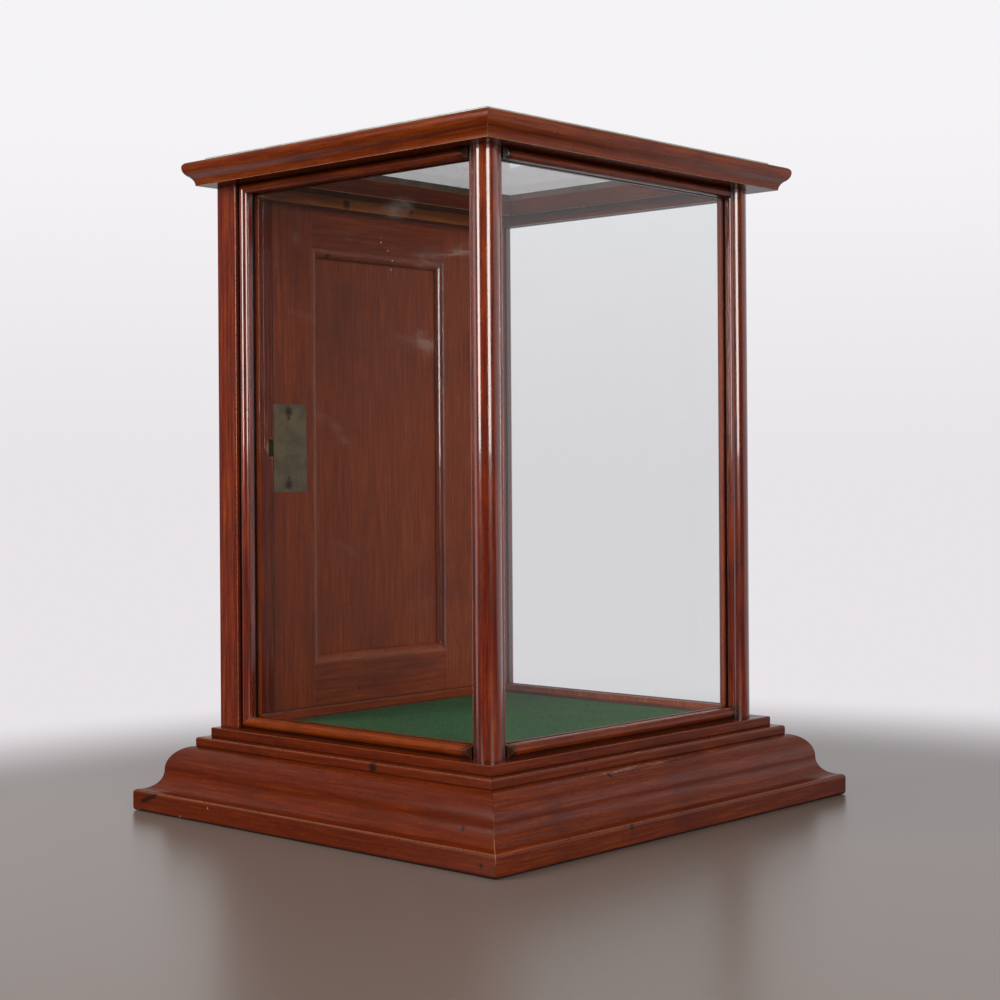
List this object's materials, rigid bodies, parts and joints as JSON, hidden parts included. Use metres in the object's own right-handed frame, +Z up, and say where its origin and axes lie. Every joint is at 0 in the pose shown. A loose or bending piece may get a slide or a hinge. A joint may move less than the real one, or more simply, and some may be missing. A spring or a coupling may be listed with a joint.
{
  "type": "countertop display case",
  "caption": "Glazed mahogany display case for a counter, on a wide moulded base, with a glass top and a locked panelled door in its back.",
  "frame": {"origin": "middle of the base on the surface it stands on", "axes": "+Z up, -Y is the glazed front, +Y is the back with the door, +X is the hinge side"},
  "size_m": [0.4588, 0.4224, 0.5596],
  "materials": {
    "mahogany": "satin",
    "door_mahogany": "satin",
    "pine": "matt",
    "glass": "gloss",
    "putty": "matt",
    "baize": "matt",
    "brass": "satin",
    "steel": "satin"
  },
  "bodies": {
    "case": {"base_moulding_front": "mahogany", "base_moulding_right": "mahogany", "base_moulding_back": "mahogany", "base_moulding_left": "mahogany", "lower_step_front": "mahogany", "lower_step_right": "mahogany", "lower_step_back": "mahogany", "lower_step_left": "mahogany", "upper_step_front": "mahogany", "upper_step_right": "mahogany", "upper_step_back": "mahogany", "upper_step_left": "mahogany", "floor_board": "pine", "base_glue_blocks": "pine", "baize_lining": "baize", "front_post_left": "mahogany", "front_post_right": "mahogany", "bottom_rail_front": "mahogany", "bottom_rail_right": "mahogany", "bottom_rail_left": "mahogany", "door_threshold": "mahogany", "top_rail_front": "mahogany", "top_rail_right": "mahogany", "top_rail_left": "mahogany", "door_header": "mahogany", "cornice_front": "mahogany", "cornice_right": "mahogany", "cornice_back": "mahogany", "cornice_left": "mahogany", "cornice_back_board": "mahogany", "top_glass_bedding": "putty", "top_glass": "glass", "front_glass": "glass", "right_glass": "glass", "left_glass": "glass", "glazing_beads_front": "mahogany", "glazing_beads_right": "mahogany", "glazing_beads_left": "mahogany", "rear_post_left": "mahogany", "rear_post_right": "mahogany", "hinge_lower_frame_leaf": "brass", "hinge_upper_frame_leaf": "brass", "hinge_pins": "steel", "hinge_screws_frame": "steel"},
    "door": {"door_lock_stile": "door_mahogany", "door_hinge_stile": "door_mahogany", "door_top_rail": "door_mahogany", "door_bottom_rail": "door_mahogany", "door_panel": "door_mahogany", "door_moulding_bottom": "door_mahogany", "door_moulding_right": "door_mahogany", "door_moulding_top": "door_mahogany", "door_moulding_left": "door_mahogany", "lock_case": "brass", "keyhole_escutcheon": "brass", "hinge_lower_door_leaf": "brass", "hinge_upper_door_leaf": "brass", "door_screws": "steel", "lock_spring": "steel"},
    "lock_bolt": {"lock_bolt": "brass"}
  },
  "joints": [
    {"name": "door_hinge", "type": "hinge", "parent": "case", "child": "door", "pos_m": [0.1306, 0.16645, 0.303], "axis": [0, 0, -1], "range_deg": [0, 175]},
    {"name": "lock_bolt_slide", "type": "slide", "parent": "door", "child": "lock_bolt", "axis": [-1, 0, 0], "range_m": [0, 0.0045]}
  ]
}
